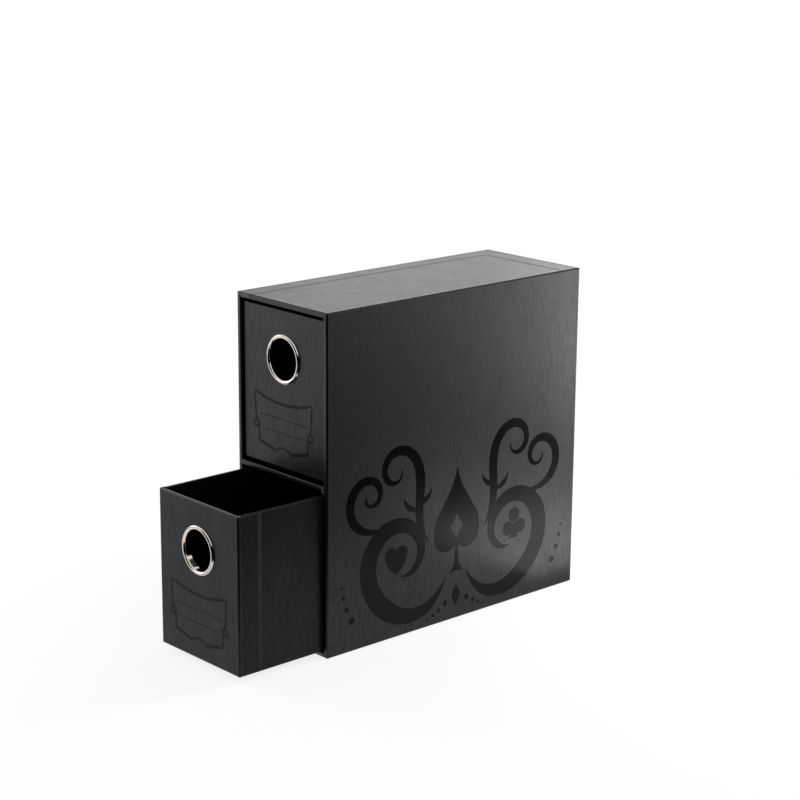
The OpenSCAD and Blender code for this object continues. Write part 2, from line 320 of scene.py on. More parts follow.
def grain_axes(tree):
    """The places across and along the grain, for walls, fronts and tops alike."""
    point = parts_of(tree, "Object")
    facing = parts_of(tree, "Normal")
    is_front = faces(tree, facing, "Y")
    is_top = faces(tree, facing, "Z")
    on_wall = add(tree, "ShaderNodeMix", {0: is_front, 2: point["Y"], 3: point["X"]}).outputs[0]
    across = add(tree, "ShaderNodeMix", {0: is_top, 2: on_wall, 3: point["Y"]}).outputs[0]
    along = add(tree, "ShaderNodeMix", {0: is_top, 2: point["Z"], 3: point["X"]}).outputs[0]
    return across, along


def grain(tree, width, length, detail=2.0, distortion=0.0):
    across, along = grain_axes(tree)
    shares = {"X": math_of(tree, "DIVIDE", across, width), "Y": math_of(tree, "DIVIDE", along, length)}
    stretched = add(tree, "ShaderNodeCombineXYZ", shares).outputs[0]
    sockets = {"Vector": stretched, "Scale": 1.0, "Detail": detail, "Distortion": distortion}
    return add(tree, "ShaderNodeTexNoise", sockets).outputs[0]


print("streaks:", GRAIN_WIDTH / MM, "x", GRAIN_LENGTH / MM, "mm")

# %% [markdown]
# ## Soft edges
# Paper drawn round a board never makes a sharp edge. It swells a little before the edge and then falls
# away round it. A node's mesh stays as it is, so a height in the material does this. It needs the distance
# to the nearest edge, and each sheet lies on a box whose faces are square to the axes. So for each axis the
# distance to the two planes is taken, and an axis that the surface itself faces is left out. The rim of an
# opening has an inner lip too.

# %% Distances on a sheet
def fade(tree, distance, reach):
    """1 where the distance is 0, falling to 0 at the reach."""
    line = between(tree, distance, 0, reach, (1.0, 0.0))
    return math_of(tree, "MULTIPLY", line, line)


def beside(tree, value, place, reach):
    return fade(tree, math_of(tree, "ABSOLUTE", math_of(tree, "SUBTRACT", value, place)), reach)


def edge_distances(tree, box):
    """For each axis, the distances to the box's two planes and to the nearer, and 1 if it is faced."""
    point = parts_of(tree, "Object")
    facing = parts_of(tree, "Normal")
    found = {}
    for index, axis in enumerate("XYZ"):
        low = math_of(tree, "SUBTRACT", point[axis], box[0][index])
        high = math_of(tree, "SUBTRACT", box[1][index], point[axis])
        near = math_of(tree, "MINIMUM", low, high)
        found[axis] = {"low": low, "high": high, "near": near, "faced": faces(tree, facing, axis)}
    return found


print("distances are taken along X, Y and Z")

# %% Soft edges
EDGE_WIDTH = 1.3 * MM
SWELL_PLACE = 1.0 * MM
SWELL_WIDTH = 3.2 * MM
SWELL_SHARE = 0.12
RIM_THICKNESS = 1.0 * MM


def soft_edges(tree, box, opening=None, wall=0.0, top_swell=SWELL_SHARE, rim_fall=1.0):
    """The fall at the edges, from 0 on flat paper to 1 or more at an edge, and 1 on the rim."""
    fall = on_rim = 0.0
    axes = edge_distances(tree, box)
    share = between(tree, axes["Z"]["faced"], 0, 1, (SWELL_SHARE, top_swell))
    for axis in axes.values():
        away = math_of(tree, "ADD", axis["near"], axis["faced"])
        dip = fade(tree, away, EDGE_WIDTH)
        swell = math_of(tree, "MULTIPLY", beside(tree, away, SWELL_PLACE, SWELL_WIDTH), share)
        fall = math_of(tree, "ADD", fall, math_of(tree, "SUBTRACT", dip, swell))
    if opening:
        open_axis, end = opening
        first, second = (axes[axis]["near"] for axis in "XYZ" if axis != open_axis)
        lip = beside(tree, math_of(tree, "MINIMUM", first, second), wall, EDGE_WIDTH)
        on_rim = math_of(tree, "LESS_THAN", axes[open_axis][end], RIM_THICKNESS)
        fall = math_of(tree, "ADD", fall, math_of(tree, "MULTIPLY", lip, on_rim))
        fall = math_of(tree, "MULTIPLY", fall, between(tree, on_rim, 0, 1, (1.0, rim_fall)))
    return fall, on_rim


print("an edge falls away over", EDGE_WIDTH / MM, "mm")

# %% [markdown]
# ## Wear, painted highlight and painted shade on the cover
# At the edges the dye wears thin, but only in places, so the fall towards an edge is multiplied by a noise.
# The paler edge this gives is partly real wear and partly a painted highlight along the edges. Inside a
# narrow gap no light gets in, and a render with few lamps leaves it too grey. So a band beside the gap gets
# a painted shade: it can be led to black, in its colour and in what it mirrors.

# %% Wear, painted highlight and painted shade
COVER_TINT = (1.02, 0.97, 1.0)
WEAR_AND_HIGHLIGHT_TONE = 0.03
WEAR_AND_HIGHLIGHT_START = 0.25
WEAR_AND_HIGHLIGHT_CLOUDS = (0.45, 0.65)
SHADE_CORE = 0.4


def tinted(tone):
    return [tone * share for share in COVER_TINT] + [1]


# Paler, patchy edges: partly real wear and partly a painted highlight along the edges.
def wear_and_highlight(tree, colour, fall, clouds):
    thin = math_of(tree, "SUBTRACT", fall, WEAR_AND_HIGHLIGHT_START, clamp=True)
    rubbed = math_of(tree, "MULTIPLY", thin, between(tree, clouds, *WEAR_AND_HIGHLIGHT_CLOUDS), clamp=True)
    return blend(tree, rubbed, colour, neutral(WEAR_AND_HIGHLIGHT_TONE))


def shaded(tree, colour, mirror, box, shadow):
    """Leads the colour and the mirrored light to black at one end of an axis, over the reach."""
    axis, end, reach = shadow
    away = edge_distances(tree, box)[axis][end]
    lit = between(tree, away, reach * SHADE_CORE, reach)
    return blend(tree, lit, tinted(0.0), colour), math_of(tree, "MULTIPLY", mirror, lit)


print("tint of the cover:", COVER_TINT)

# %% [markdown]
# ## The cover paper itself
# On the real paper the streaks differ a little in tone, gloss and height, and larger, fainter clouds keep a
# wide face from looking even. One function builds the finish for every sheet, because they differ only in
# their box, their rim and their shade. A rim that fingers polish shines more than the rest, and how much
# more is set for each sheet to the light on its rim, so the rim's shine is partly a painted sheen. The
# mirrored light keeps its plain value in the socket below the link, for a program that can't follow the
# link.

# %% Cover paper
CLOUD_WIDTH = 14 * MM
CLOUD_LENGTH = 40 * MM
GRAIN_BEND = 0.4
STREAK_SHARE = 0.7
NOISE_SPAN = (0.3, 0.7)
TONE_SPREAD = 0.3
ROUGHNESS_SPREAD = 0.025
MIRROR_SPREAD = 0.25
EDGE_DEPTH = 0.35 * MM


def paper(
    name, tone, roughness=0.36, specular=0.3, box=None, opening=None, wall=0.0,
    steps=None, rim_shine=1.0, rim_fall=1.0, shadow=None, top_swell=SWELL_SHARE,
):
    """A sheet's finish. A box gives it soft edges, an opening (axis, end) a rim, and a shadow (axis, end,
    reach) a dark band. The steps are a function that returns one more height."""
    made, tree = new_material(name)
    streaks = grain(tree, GRAIN_WIDTH, GRAIN_LENGTH, distortion=GRAIN_BEND)
    clouds = grain(tree, CLOUD_WIDTH, CLOUD_LENGTH)
    fine = math_of(tree, "MULTIPLY", streaks, STREAK_SHARE)
    broad = math_of(tree, "MULTIPLY", clouds, 1 - STREAK_SHARE)
    varied = between(tree, math_of(tree, "ADD", fine, broad), *NOISE_SPAN)
    colour = blend(tree, varied, tinted(tone * (1 - TONE_SPREAD)), tinted(tone * (1 + TONE_SPREAD)))
    gloss = between(tree, varied, 0, 1, (roughness + ROUGHNESS_SPREAD, roughness - ROUGHNESS_SPREAD))
    mirror_ends = (specular * (1 - MIRROR_SPREAD), specular * (1 + MIRROR_SPREAD))
    mirror = between(tree, varied, 0, 1, mirror_ends)
    fibre = add(tree, "ShaderNodeBump", {"Height": streaks, "Distance": GRAIN_HEIGHT})
    if box:
        fall, on_rim = soft_edges(tree, box, opening, wall, top_swell, rim_fall)
        colour = wear_and_highlight(tree, colour, fall, clouds)
        if opening:
            # The rim's extra shine is partly polish and partly a painted sheen.
            mirror = math_of(tree, "MULTIPLY", mirror, between(tree, on_rim, 0, 1, (1.0, rim_shine)))
        if shadow:
            colour, mirror = shaded(tree, colour, mirror, box, shadow)
        if steps:
            fall = math_of(tree, "ADD", fall, steps(tree))
        edge = add(tree, "ShaderNodeBump", {"Height": fall, "Distance": EDGE_DEPTH}, invert=True)
        tree.links.new(edge.outputs[0], fibre.inputs["Normal"])
    sockets = {
        "Base Color": colour,
        "Roughness": gloss,
        "Specular IOR Level": specular,
        "Specular Tint": (*COVER_TINT, 1),
        "Normal": fibre.outputs[0],
    }
    shader = add(tree, "ShaderNodeBsdfPrincipled", sockets)
    tree.links.new(mirror, shader.inputs["Specular IOR Level"])
    set_surface(tree, shader)
    return made


print("clouds:", CLOUD_WIDTH / MM, "x", CLOUD_LENGTH / MM, "mm")

# %% [markdown]
# ## Steps where sheets overlap
# Where one sheet laps over another, its edge lifts the paper by its own thickness, and the eye sees a fine
# line. The top has two such lines, and each drawer's side has a soft one over the hidden end of the front
# sheet. A fifth of a millimetre is too thin to be worth a mesh, so a step is a height in the material that
# changes from 0 to 1 across a short distance.

# %% Steps
LEFT_LAP = 13 * MM
BACK_LAP = 15 * MM
LAP_STEP = 2.2 * MM
HIDDEN_STEP = 4 * MM
HIDDEN_RISE = 1.1


def union(*names):
    """The box round some nodes, as lists of numbers."""
    boxes = [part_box(name) for name in names]
    return [
        [pick(box[end][axis] for box in boxes) for axis in range(3)]
        for end, pick in enumerate((min, max))
    ]


case_box = union("case_main_wrap", "case_side_wrap")


def step_at(tree, value, place, width):
    return between(tree, value, place - width / 2, place + width / 2, interpolation_type="SMOOTHSTEP")


def top_laps(tree):
    """The fall of the main sheet's top below the laps beside it, upside down as a rise towards them."""
    point = parts_of(tree, "Object")
    left = step_at(tree, point["X"], case_box[0][0] + LEFT_LAP + LAP_STEP / 2, LAP_STEP)
    back = step_at(tree, point["Y"], case_box[1][1] - BACK_LAP - LAP_STEP / 2, LAP_STEP)
    main_sheet = math_of(tree, "MULTIPLY", left, math_of(tree, "SUBTRACT", 1.0, back))
    on_top = math_of(tree, "GREATER_THAN", point["Z"], case_box[1][2] - RIM_THICKNESS)
    return math_of(tree, "MULTIPLY", main_sheet, on_top)


def hidden_end(place):
    """Makes the steps of a drawer's side, which rises over the end of the sheet under it."""
    def rise(tree):
        step = step_at(tree, parts_of(tree, "Object")["Y"], place, HIDDEN_STEP)
        return math_of(tree, "MULTIPLY", step, HIDDEN_RISE)
    return rise


print("box of the case:", [[round(x / MM, 1) for x in corner] for corner in case_box], "mm")

# %% [markdown]
# ## A finish for each sheet of the case
# The main sheet covers the top and the right side, and the side sheet the left and the back. They share the
# case's box and its open front, so these values are kept together and handed to both. The strip round the
# shelf is a small box of its own, taken without the rounding of its upper edge, and a painted shade for the
# gap above it keeps that edge black.

# %% Sheets of the case
COVER_TONE = 0.008
CASE_WALL = 3.4 * MM
TOP_SWELL = 0.45
MAIN_RIM_SHINE = 1.2
SIDE_RIM_SHINE = 1.8
SHELF_ROUNDING = 0.8 * MM
SHELF_GAP_SHADOW = 0.3 * MM

outside = {"box": case_box, "opening": ("Y", "low"), "wall": CASE_WALL, "top_swell": TOP_SWELL}
cover_main = paper("cover_main_sheet", COVER_TONE, steps=top_laps, rim_shine=MAIN_RIM_SHINE, **outside)
cover_side = paper("cover_side_sheet", COVER_TONE, rim_shine=SIDE_RIM_SHINE, **outside)

shelf_box = union("case_shelf_wrap")
shelf_box[1][2] -= SHELF_ROUNDING
shelf_shadow = ("Z", "high", SHELF_GAP_SHADOW)
cover_shelf = paper("cover_shelf_strip", COVER_TONE, box=shelf_box, shadow=shelf_shadow)

sheets = {
    "case_main_wrap": cover_main,
    "case_side_wrap": cover_side,
    "case_base_wrap": cover_side,
    "case_shelf_wrap": cover_shelf,
}
print("sheets of the case:", len(sheets))

# %% [markdown]
# ## A finish for each sheet of the drawers
# A drawer has a sheet over its front, one round its sides and back, and one under its floor. The side sheet
# is a little paler and duller, and the duller gloss renders the drawer's side darker, a painted shade. The
# foot of the upper front gets a painted shade for the gap above the shelf, and the lower front stands free
# in the light.

# %% Sheets of the drawers
DRAWER_WALL = 2.4 * MM
RIM_FALL = 0.2
HIDDEN_END = 16 * MM
BODY_TONE = 0.011
# The body sheet's lower gloss is a painted shade for the drawer's side.
SHADED_BODY_SPECULAR = 0.17
BODY_RIM_SHINE = 1.3
UPPER_GAP_SHADOW = 1.9 * MM
FRONT_FINISHES = {
    "upper_drawer": {"rim_shine": 0.8, "shadow": ("Z", "low", UPPER_GAP_SHADOW)},
    "lower_drawer": {"rim_shine": 1.5, "specular": 0.23},
}

for body in DRAWERS:
    box = union(body + "_front_wrap", body + "_body_wrap")
    shape = {"box": box, "opening": ("Z", "high"), "wall": DRAWER_WALL, "rim_fall": RIM_FALL}
    round_body = {"steps": hidden_end(box[0][1] + HIDDEN_END), "rim_shine": BODY_RIM_SHINE, **shape}
    on_front = {**FRONT_FINISHES[body], **shape}
    sheets[body + "_front_wrap"] = paper(body + "_front_sheet", COVER_TONE, **on_front)
    sheets[body + "_body_wrap"] = paper(
        body + "_body_sheet", BODY_TONE, specular=SHADED_BODY_SPECULAR, **round_body
    )
    sheets[body + "_base_sheet"] = paper(body + "_base_paper", COVER_TONE, box=box)
print("sheets with their own finish:", len(sheets))

# %% [markdown]
# ## Lining and boards
# The lining is a plain black paper without gloss, so it is the same function with other values. Greyboard
# is pressed from waste paper. It shows pale and dark fibres on a warm grey, which a fine noise gives, and a
# few dark specks, which are the cell middles of a Voronoi pattern. The papers hide it, but it is there.

# %% Lining and boards
LINING_TONE = 0.005
PULP_DARK = (0.26, 0.235, 0.2, 1)
PULP_PALE = (0.4, 0.37, 0.33, 1)
SPECK_COLOUR = (0.12, 0.11, 0.1, 1)
SPECK_REACH = 0.18
SPECK_SHARE = 0.6
SPECK_SCALE = 350.0
FIBRE_SCALE = 900.0
FELT_HEIGHT = 0.05 * MM

lining_paper = paper("plain_lining_paper", LINING_TONE, roughness=0.8, specular=0.05)

greyboard, tree = new_material("raw_greyboard")
where = add(tree, "ShaderNodeTexCoord").outputs["Object"]
fibre_noise = {"Vector": where, "Scale": FIBRE_SCALE, "Detail": 4.0, "Distortion": 1.0}
fibres = add(tree, "ShaderNodeTexNoise", fibre_noise).outputs[0]
speck_middles = add(tree, "ShaderNodeTexVoronoi", {"Vector": where, "Scale": SPECK_SCALE}).outputs[0]
speck = between(tree, speck_middles, 0, SPECK_REACH, (SPECK_SHARE, 0.0))
pulp = blend(tree, fibres, PULP_DARK, PULP_PALE)
felt = add(tree, "ShaderNodeBump", {"Height": fibres, "Distance": FELT_HEIGHT})
board_sockets = {
    "Base Color": blend(tree, speck, pulp, SPECK_COLOUR),
    "Roughness": 0.9,
    "Specular IOR Level": 0.2,
    "Normal": felt.outputs[0],
}
set_surface(tree, add(tree, "ShaderNodeBsdfPrincipled", board_sockets))
print("lining:", lining_paper.name, "and boards:", greyboard.name)

# %% [markdown]
# ## Metal of the rings
# The rings are plated steel, polished, with the faint marks that fingers leave. The rolling tool presses a
# fine groove round the bead. It could be turned into the bead's mesh, but a node's mesh stays as it is, so
# the groove is a dark line in the material, a painted shade in the groove, at its radius from the middle of
# each ring.

# %% Metal of the rings
GROOVE_RADIUS = 14.5 * MM
GROOVE_WIDTH = 0.5 * MM
GROOVE_SHADE_COLOUR = (0.08, 0.07, 0.06, 1)
PLATE_DARK = (0.64, 0.58, 0.53, 1)
PLATE_PALE = (0.76, 0.71, 0.66, 1)
PLATE_HAZE = (0.06, 0.16)
MARK_SCALE = 600.0
MARK_HEIGHT = 0.006 * MM

ring_metal, tree = new_material("plated_metal")
where = add(tree, "ShaderNodeTexCoord").outputs["Object"]
mark_noise = {"Vector": where, "Scale": MARK_SCALE, "Detail": 3.0}
marks = add(tree, "ShaderNodeTexNoise", mark_noise).outputs[0]
# The groove's dark colour is a painted shade.
groove = 0.0
for body in DRAWERS:
    low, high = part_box(body + "_finger_ring")
    height = (low.z + high.z) / 2
    centred = add(tree, "ShaderNodeVectorMath", {0: where, 1: (0, 0, height)}, operation="SUBTRACT")
    flat = add(tree, "ShaderNodeVectorMath", {0: centred.outputs[0], 1: (1, 0, 1)}, operation="MULTIPLY")
    radius = add(tree, "ShaderNodeVectorMath", {0: flat.outputs[0]}, operation="LENGTH").outputs["Value"]
    groove = math_of(tree, "MAXIMUM", groove, beside(tree, radius, GROOVE_RADIUS, GROOVE_WIDTH))
    print(body, "ring is", round(height / MM, 1), "mm up")
dents = add(tree, "ShaderNodeBump", {"Height": marks, "Distance": MARK_HEIGHT})
metal_sockets = {
    "Base Color": blend(tree, groove, blend(tree, marks, PLATE_DARK, PLATE_PALE), GROOVE_SHADE_COLOUR),
    "Roughness": between(tree, marks, 0, 1, PLATE_HAZE),
    "Metallic": 1.0,
    "Normal": dents.outputs[0],
}
set_surface(tree, add(tree, "ShaderNodeBsdfPrincipled", metal_sockets))

# %% [markdown]
# ## Hand out the finishes
# Every board, paper and ring is a node of the frame, and the record names a material slot for each. The
# slot gives the plain finish, and the sheets with edges and steps of their own take theirs by name. So no
# node is forgotten, and the hidden ones are dressed too.

# %% Give each node its finish
FINISHES = {
    "cover_paper": cover_side,
    "lining_paper": lining_paper,
    "greyboard": greyboard,
    "ring_metal": ring_metal,
}
for part in frame["record"]["subparts"]:
    piece = nodes[part["node"]]
    piece.data.materials.clear()
    piece.data.materials.append(sheets.get(part["node"], FINISHES[part["material_slot"]]))

# %% [markdown]
# ## Printing with a pen
# The printing is a clear gloss varnish on the matt paper, a few hundredths of a millimetre thick. A flat
# picture would do for one view, but a thin raised plate catches the light at its edge as varnish does.
# Its strokes swell and taper, so they are drawn as with a broad pen: an edge of two points is the nib,
# and each step extrudes it, moves it forward, turns it with the bend and scales it to the new width.

# %% The pen
PEN_STEP = 1.2
FEWEST_STEPS = 4
UPWARD = Vector((0, 0, 1))


def direction(degrees):
    return Vector((math.cos(math.radians(degrees)), math.sin(math.radians(degrees)), 0))


def stroke(plate, place, heading, bend, width, parts):
    """Draws one stroke. Bends are degrees per mm, and each part is (length, bend, width) at its end."""
    middle = Vector((*place, 0))
    side = direction(heading + 90) * width / 2
    nib = [plate.verts.new(middle + side), plate.verts.new(middle - side)]
    edge = plate.edges.new(nib)
    for length, next_bend, next_width in parts:
        steps = max(FEWEST_STEPS, math.ceil(length / PEN_STEP))
        for step in range(steps):
            turn = (bend + (next_bend - bend) * (step + 0.5) / steps) * length / steps
            wanted = width + (next_width - width) * (step + 1) / steps
            made = bmesh.ops.extrude_edge_only(plate, edges=[edge])["geom"]
            nib = [part for part in made if isinstance(part, bmesh.types.BMVert)]
            edge = plate.edges.get(nib)
            bmesh.ops.translate(plate, verts=nib, vec=direction(heading + turn / 2) * length / steps)
            middle = (nib[0].co + nib[1].co) / 2
            spread = (nib[0].co - nib[1].co).length
            there = Matrix.Translation(-middle)
            turning = Matrix.Rotation(math.radians(turn), 3, UPWARD)
            bmesh.ops.rotate(plate, verts=nib, cent=middle, matrix=turning)
            bmesh.ops.scale(plate, verts=nib, vec=Vector((1, 1, 1)) * wanted / spread, space=there)
            heading += turn
        bend, width = next_bend, next_width


print("a step of the pen:", PEN_STEP, "mm")

# %% [markdown]
# ## Filled shapes
# A card suit is the same on both sides of its middle line. Its outline could be a curve with handles, but
# arcs of a given length and turn are easier to read. So half of the outline is walked with arcs, from one
# point, the half is filled with a single face, and a mirror adds the other half.

# %% Outlines
ARC_STEP = 8


def outline(plate, place, parts):
    """Walks along arcs of (heading or None, length, turn) and fills what they enclose."""
    point = plate.verts.new((*place, 0))
    walked = [point]
    facing = 0
    for heading, length, turn in parts:
        facing = facing if heading is None else heading
        steps = max(1, math.ceil(abs(turn) / ARC_STEP))
        for _ in range(steps):
            made = bmesh.ops.extrude_vert_indiv(plate, verts=[point])["verts"]
            point = made[0]
            ahead = direction(facing + turn / steps / 2) * length / steps
            bmesh.ops.translate(plate, verts=[point], vec=ahead)
            facing += turn / steps
            walked.append(point)
    edges = [plate.edges.get(pair) for pair in zip(walked, walked[1:])]
    edges.append(plate.edges.new((walked[-1], walked[0])))
    bmesh.ops.contextual_create(plate, geom=edges)


print("an arc turns by", ARC_STEP, "degrees a step")

# %% Dots and mirrors
DOT_SIDES = 20
MIDDLE_REACH = 0.35
MIDDLE_MERGE = 0.01


def dot(plate, place, radius):
    there = Matrix.Translation((*place, 0))
    bmesh.ops.create_circle(plate, cap_ends=True, radius=radius, segments=DOT_SIDES, matrix=there)


def mirrored(plate):
    """Mirrors a half drawing. What ends close to the middle line is first drawn onto it."""
    near = [vert for vert in plate.verts if abs(vert.co.x) < MIDDLE_REACH]
    bmesh.ops.scale(plate, verts=near, vec=(0, 1, 1))
    half = plate.verts[:] + plate.edges[:] + plate.faces[:]
    bmesh.ops.mirror(plate, geom=half, axis="X", merge_dist=MIDDLE_MERGE)


print("a dot has", DOT_SIDES, "sides")

# %% [markdown]
# ## From a drawing to a piece
# Each drawing is made flat and in millimetres, then extruded to the thickness of the varnish. Strokes that
# cross would lie in one plane and flicker. They could be joined by a boolean, but it is simpler to give
# every separate shape a height of its own, a few thousandths of a millimetre over the one before it.

# %% Separate shapes
def islands(plate):
    """The separate shapes of a flat drawing, each a list of its faces, in the order they were drawn."""
    seen = set()
    found = []
    for face in plate.faces:
        if face in seen:
            continue
        seen.add(face)
        batch = [face]
        for each in batch:
            for edge in each.edges:
                for near in edge.link_faces:
                    if near not in seen:
                        seen.add(near)
                        batch.append(near)
        found.append(batch)
    return found


print("shapes that share an edge rise together")

# %% Raise a print
PRINT_DEPTH = 0.04
LAYER = 0.003
POINT_MERGE = 0.002


def finish_piece(name, form, place, body, paint):
    """Puts a form drawn in mm on the box, with its finish, and lets it ride on a body."""
    bmesh.ops.recalc_face_normals(form, faces=form.faces)
    bmesh.ops.transform(form, verts=form.verts, matrix=place @ Matrix.Scale(MM, 4))
    piece = new_object(name, form, paint)
    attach(piece, body)
    print(name, "has", len(piece.data.polygons), "faces")


def raise_print(name, plate, place, body, paint, depth=PRINT_DEPTH):
    bmesh.ops.remove_doubles(plate, verts=plate.verts, dist=POINT_MERGE)
    for layer, faces_of_shape in enumerate(islands(plate)):
        made = bmesh.ops.extrude_face_region(plate, geom=faces_of_shape)["geom"]
        top = [part for part in made if isinstance(part, bmesh.types.BMVert)]
        bmesh.ops.translate(plate, verts=top, vec=UPWARD * (depth + LAYER * layer))
    finish_piece(name, plate, place, body, paint)


print("a print is", PRINT_DEPTH, "mm thick")

# %% [markdown]
# ## The varnish
# Varnish hides the paper's grain under a smooth, faintly rippled skin. Against the matt paper it looks
# darker where it mirrors nothing, and it shines only where it mirrors a lamp. The ripple is the same noise
# as the grain, drawn out longer, because the paper's streaks show through a little.

# %% The varnish
VARNISH_TONE = 0.003
VARNISH_ROUGHNESS = 0.22
VARNISH_SPREAD = 0.05
VARNISH_SPECULAR = 0.1
RIPPLE_WIDTH = 2.5 * MM
RIPPLE_LENGTH = 12 * MM
RIPPLE_HEIGHT = 0.01 * MM

gloss_varnish, tree = new_material("gloss_varnish")
ripple = grain(tree, RIPPLE_WIDTH, RIPPLE_LENGTH, detail=3.0)
gloss_ends = (VARNISH_ROUGHNESS + VARNISH_SPREAD, VARNISH_ROUGHNESS - VARNISH_SPREAD)
relief = add(tree, "ShaderNodeBump", {"Height": ripple, "Distance": RIPPLE_HEIGHT})
varnish_sockets = {
    "Base Color": neutral(VARNISH_TONE),
    "Roughness": between(tree, ripple, 0, 1, gloss_ends),
    "Specular IOR Level": VARNISH_SPECULAR,
    "Normal": relief.outputs[0],
}
set_surface(tree, add(tree, "ShaderNodeBsdfPrincipled", varnish_sockets))
print("ripple of the varnish:", RIPPLE_WIDTH / MM, "x", RIPPLE_LENGTH / MM, "mm")

# %% [markdown]
# ## A label on each drawer front
# Under the ring, each drawer front has a frame to write a title in: a sagging top edge that ends in two
# points, a small ring at each side, an arch in the bottom edge and two thin writing lines. It is drawn
# once about its own middle line, for half of the frame, and mirrored.

# %% Draw the label
LABEL_SHIFT = -0.75
LABEL_RING = (26.0, 24.5)
LABEL_RING_RADIUS = 2.2
WRITING_LINES = ((22.9, 31.3), (19.3, 22.7))
WRITING_WIDTH = 0.6


def draw_label():
    plate = bmesh.new()
    # The sagging top edge, from its point to the middle
    stroke(plate, (27.7, 45.6), 199.8, -0.7, 0.6, [(6, -0.7, 1.9), (22.1, -0.7, 2.1)])
    # The upright edge, which bends in behind the small ring
    stroke(
        plate, (27.3, 45.4), -94, 0, 0.5,
        [(3, 0, 1.4), (11.6, 0, 1.5), (2.6, -17, 1.6), (3.6, 17, 1.6), (2.6, 1, 1.5), (8.8, 0, 1.6)],
    )
    once_round = math.tau * LABEL_RING_RADIUS
    bend = 360 / once_round
    start = (LABEL_RING[0] + LABEL_RING_RADIUS, LABEL_RING[1])
    stroke(plate, start, 90, bend, 1.5, [(once_round / 2, bend, 1.6), (once_round / 2, bend, 1.5)])
    # The bottom edge, and half of the arch in its middle
    stroke(plate, (24.0, 14.5), 193, 0, 1.8, [(17.3, 0, 2.5)])
    stroke(plate, (0, 13.3), 0, -5.9, 1.6, [(3.5, -5.9, 1.6), (3.6, -5.9, 1.9)])
    for reach, height in WRITING_LINES:
        stroke(plate, (0, height), 0, 0, WRITING_WIDTH, [(reach, 0, WRITING_WIDTH)])
    mirrored(plate)
    bmesh.ops.translate(plate, verts=plate.verts, vec=(LABEL_SHIFT, 0, 0))
    return plate


def facing_front(y, z):
    """Stands a flat drawing up at a height, so that it faces the front."""
    return Matrix(((1, 0, 0, 0), (0, 0, -1, y), (0, 1, 0, z), (0, 0, 0, 1)))


for body in DRAWERS:
    low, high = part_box(body + "_front_wrap")
    raise_print(body + "_label_print", draw_label(), facing_front(low.y, low.z), body, gloss_varnish)

# %% [markdown]
# ## The ornament on the right side
# The same varnish makes a large ornament low on the right side. Its motif is a plain one of the card
# table: a spade between two scrolls that hold a heart and a club, with a diamond at its foot. The scrolls
# and tendrils are pen strokes whose bend grows along the way, which is what makes a spiral.

# %% Draw the ornament
TRAILING_DOTS = (
    ((9.5, 12.5), 1.9), ((15, 9), 1.5), ((20, 6.6), 1.15), ((24.5, 5), 0.85),
    ((88, 20), 2.3), ((92, 28), 1.8), ((94.5, 36), 1.4), ((96, 43), 1.0),
)


def draw_ornament():
    plate = bmesh.new()
    # Half of the spade with its foot, round a window that is a diamond
    outline(
        plate,
        (0, 102),
        [
            (-80, 20, 27), (None, 17, -8), (None, 15, -42), (None, 23, -122),
            (-90, 12, 10), (None, 8, 52), (171, 6.75, 0),
            (90, 21, 0), (62, 10.2, -14), (132, 10.2, -14),
        ],
    )
    # The diamond below it
    outline(plate, (0, 24), [(-56, 8.6, -14), (-110, 8.6, -14)])
    # The large scroll, and the tendril on its shoulder
    stroke(
        plate, (9, 30), -60, 0.8, 0.5,
        [(22, 2.2, 7), (38, 1.2, 13), (42, 2.2, 13), (50, 2.9, 8), (26, 4.2, 4.5), (11, 5.0, 0.3)],
    )
    stroke(
        plate, (64, 73), -2, 1.0, 2,
        [(21, 3.2, 6), (24, 3.6, 6.5), (26, 6.0, 4.5), (18, 11, 2), (7, 16, 0.3)],
    )
    # The tall tendril with a thorn on either side
    stroke(
        plate, (24, 57), 52, 1.0, 0.5,
        [(18, 2.0, 6), (28, -1.6, 7.5), (30, -4.2, 6), (26, -6.5, 4), (17, -12, 0.3)],
    )
    stroke(plate, (33, 84), 178, -2.5, 1.5, [(6, -6, 4), (9, -6, 0.3)])
    stroke(plate, (33, 80), 4, 2.5, 1.5, [(8, 5, 4), (9, 5, 0.3)])
    for place, radius in TRAILING_DOTS:
        dot(plate, place, radius)
    mirrored(plate)
    return plate


print("the ornament trails", len(TRAILING_DOTS), "dots on each side")

# %% Draw the heart and the club
HEART = (-51.5, 53.0)
CLUB = (51.5, 52.5)
CLUB_LEAVES = ((0, 6.4), (5.4, -2.2), (-5.4, -2.2))
CLUB_LEAF_RADIUS = 4.9


def draw_heart():
    plate = bmesh.new()
    outline(plate, (0, 4), [(64, 14.4, -165), (None, 15.7, -52)])
    mirrored(plate)
    bmesh.ops.translate(plate, verts=plate.verts, vec=(*HEART, 0))
    return plate


def draw_club():
    plate = bmesh.new()
    outline(plate, (0, 3), [(-80, 9, 8), (None, 5, 50), (180, 5.7, 0)])
    mirrored(plate)
    for place in CLUB_LEAVES:
        dot(plate, place, CLUB_LEAF_RADIUS)
    bmesh.ops.translate(plate, verts=plate.verts, vec=(*CLUB, 0))
    return plate


print("heart at", HEART, "and club at", CLUB, "mm")

# %% Put the ornament on the side
low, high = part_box("case_main_wrap")
facing_right = Matrix(((0, 0, 1, high.x), (1, 0, 0, 0), (0, 1, 0, 0), (0, 0, 0, 1)))
raise_print("side_ornament_print", draw_ornament(), facing_right, "case", gloss_varnish)
raise_print("side_heart_print", draw_heart(), facing_right, "case", gloss_varnish)
raise_print("side_club_print", draw_club(), facing_right, "case", gloss_varnish)

